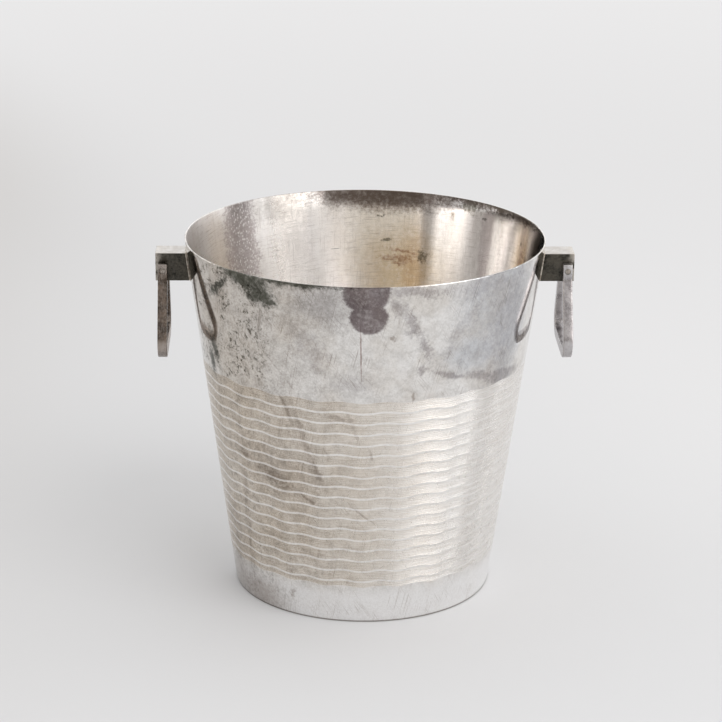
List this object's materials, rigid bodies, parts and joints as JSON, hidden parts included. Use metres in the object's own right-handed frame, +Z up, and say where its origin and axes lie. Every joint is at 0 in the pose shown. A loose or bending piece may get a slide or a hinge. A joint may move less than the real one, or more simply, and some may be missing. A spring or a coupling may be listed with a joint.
{
  "type": "champagne bucket",
  "caption": "Conical silver-plated champagne bucket with a wavy engraved band and swinging stirrup handles, made to chill a bottle in ice.",
  "frame": {"origin": "centre of the circle of the standing edge, on the surface that the bucket stands on", "axes": "+Z is up the axis of the cone, from the standing edge to the rim; +X points to the right handle and -X to the left handle, through the pivots' middles; +Y is square to the line of the handles"},
  "size_m": [0.2318, 0.2, 0.201],
  "materials": {
    "bucket_wall": "silver plate over brass, once mirror polished, now worn, speckled and cloudy, with a matt engraved band",
    "bucket_floor": "silver plate over brass, dulled and scratched",
    "bracket": "silver plate over brass, tarnished nearly black, worn bright on top",
    "left_handle": "silver plate over brass, tarnished brown",
    "right_handle": "silver plate over brass, tarnished grey",
    "pivot_pin": "silver plate over brass, peened nearly flush"
  },
  "bodies": {
    "bucket": {"body_shell": "bucket_wall", "base_disc": "bucket_floor", "left_bracket": "bracket", "right_bracket": "bracket"},
    "left_handle_body": {"left_handle": "left_handle", "left_pivot_pin": "pivot_pin"},
    "right_handle_body": {"right_handle": "right_handle", "right_pivot_pin": "pivot_pin"}
  },
  "joints": [
    {"name": "left_handle_swing", "type": "hinge", "parent": "bucket", "child": "left_handle_body", "pos_m": [-0.11185, 0, 0.184], "axis": [0, 1, 0], "range_deg": [-20, 205]},
    {"name": "right_handle_swing", "type": "hinge", "parent": "bucket", "child": "right_handle_body", "pos_m": [0.11185, 0, 0.184], "axis": [0, -1, 0], "range_deg": [-20, 205]}
  ]
}
